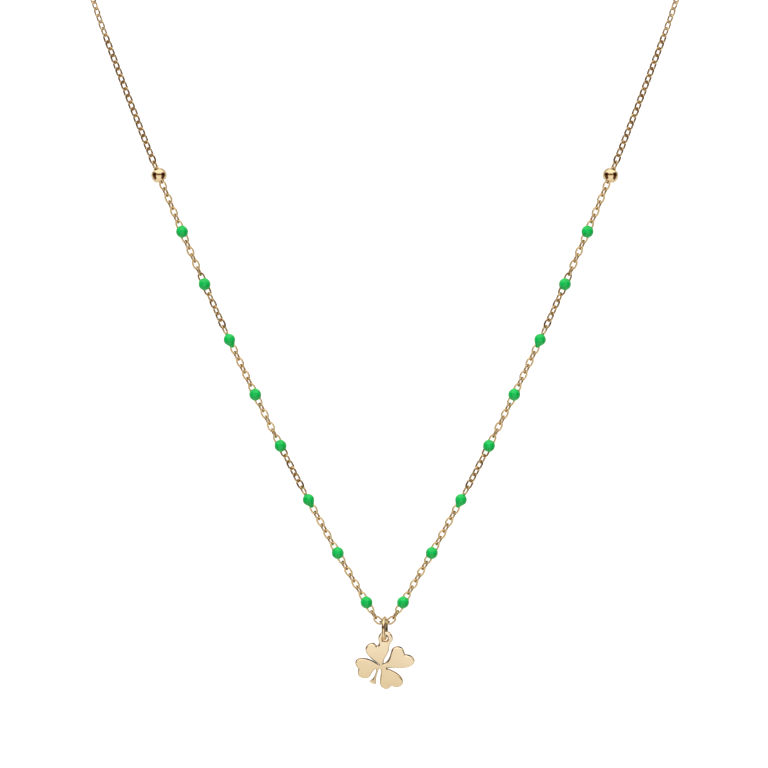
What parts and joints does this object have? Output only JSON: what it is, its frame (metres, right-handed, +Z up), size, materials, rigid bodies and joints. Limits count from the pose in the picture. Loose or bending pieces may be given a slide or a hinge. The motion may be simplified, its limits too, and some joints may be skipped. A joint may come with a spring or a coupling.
{
  "type": "clover necklace",
  "caption": "Fine cable-chain necklace that hangs in a V, with green enamel drops and gold balls along the chain and a flat clover charm on a jump ring.",
  "frame": {"origin": "middle of the clasp, where the necklace lies on the nape", "axes": "+Z up, -Y forward to the V and the clover, +X to the right as the front is seen"},
  "size_m": [0.1028, 0.0786, 0.1413],
  "materials": {
    "gold": "polished pale yellow gold",
    "enamel": "glossy opaque green cold enamel"
  },
  "bodies": {
    "necklace": {"chain_left": "gold", "drop_left_1": "enamel", "drop_left_2": "enamel", "drop_left_3": "enamel", "drop_left_4": "enamel", "drop_left_5": "enamel", "drop_left_6": "enamel", "drop_left_7": "enamel", "drop_left_8": "enamel", "ball_left": "gold", "back_chain_left": "gold", "chain_right": "gold", "drop_right_1": "enamel", "drop_right_2": "enamel", "drop_right_3": "enamel", "drop_right_4": "enamel", "drop_right_5": "enamel", "drop_right_6": "enamel", "drop_right_7": "enamel", "drop_right_8": "enamel", "ball_right": "gold", "back_chain_right": "gold", "clasp": "gold"},
    "jump_ring": {"jump_ring": "gold"},
    "clover": {"clover": "gold"}
  },
  "joints": [
    {"name": "ring_swing", "type": "hinge", "parent": "necklace", "child": "jump_ring", "pos_m": [0, -0.076, -0.12846], "axis": [0.9903, -0.1392, 0], "range_deg": [-60, 60]},
    {"name": "clover_swing", "type": "hinge", "parent": "jump_ring", "child": "clover", "pos_m": [0, -0.076, -0.13015], "axis": [0, 1, 0], "range_deg": [-60, 60]}
  ]
}
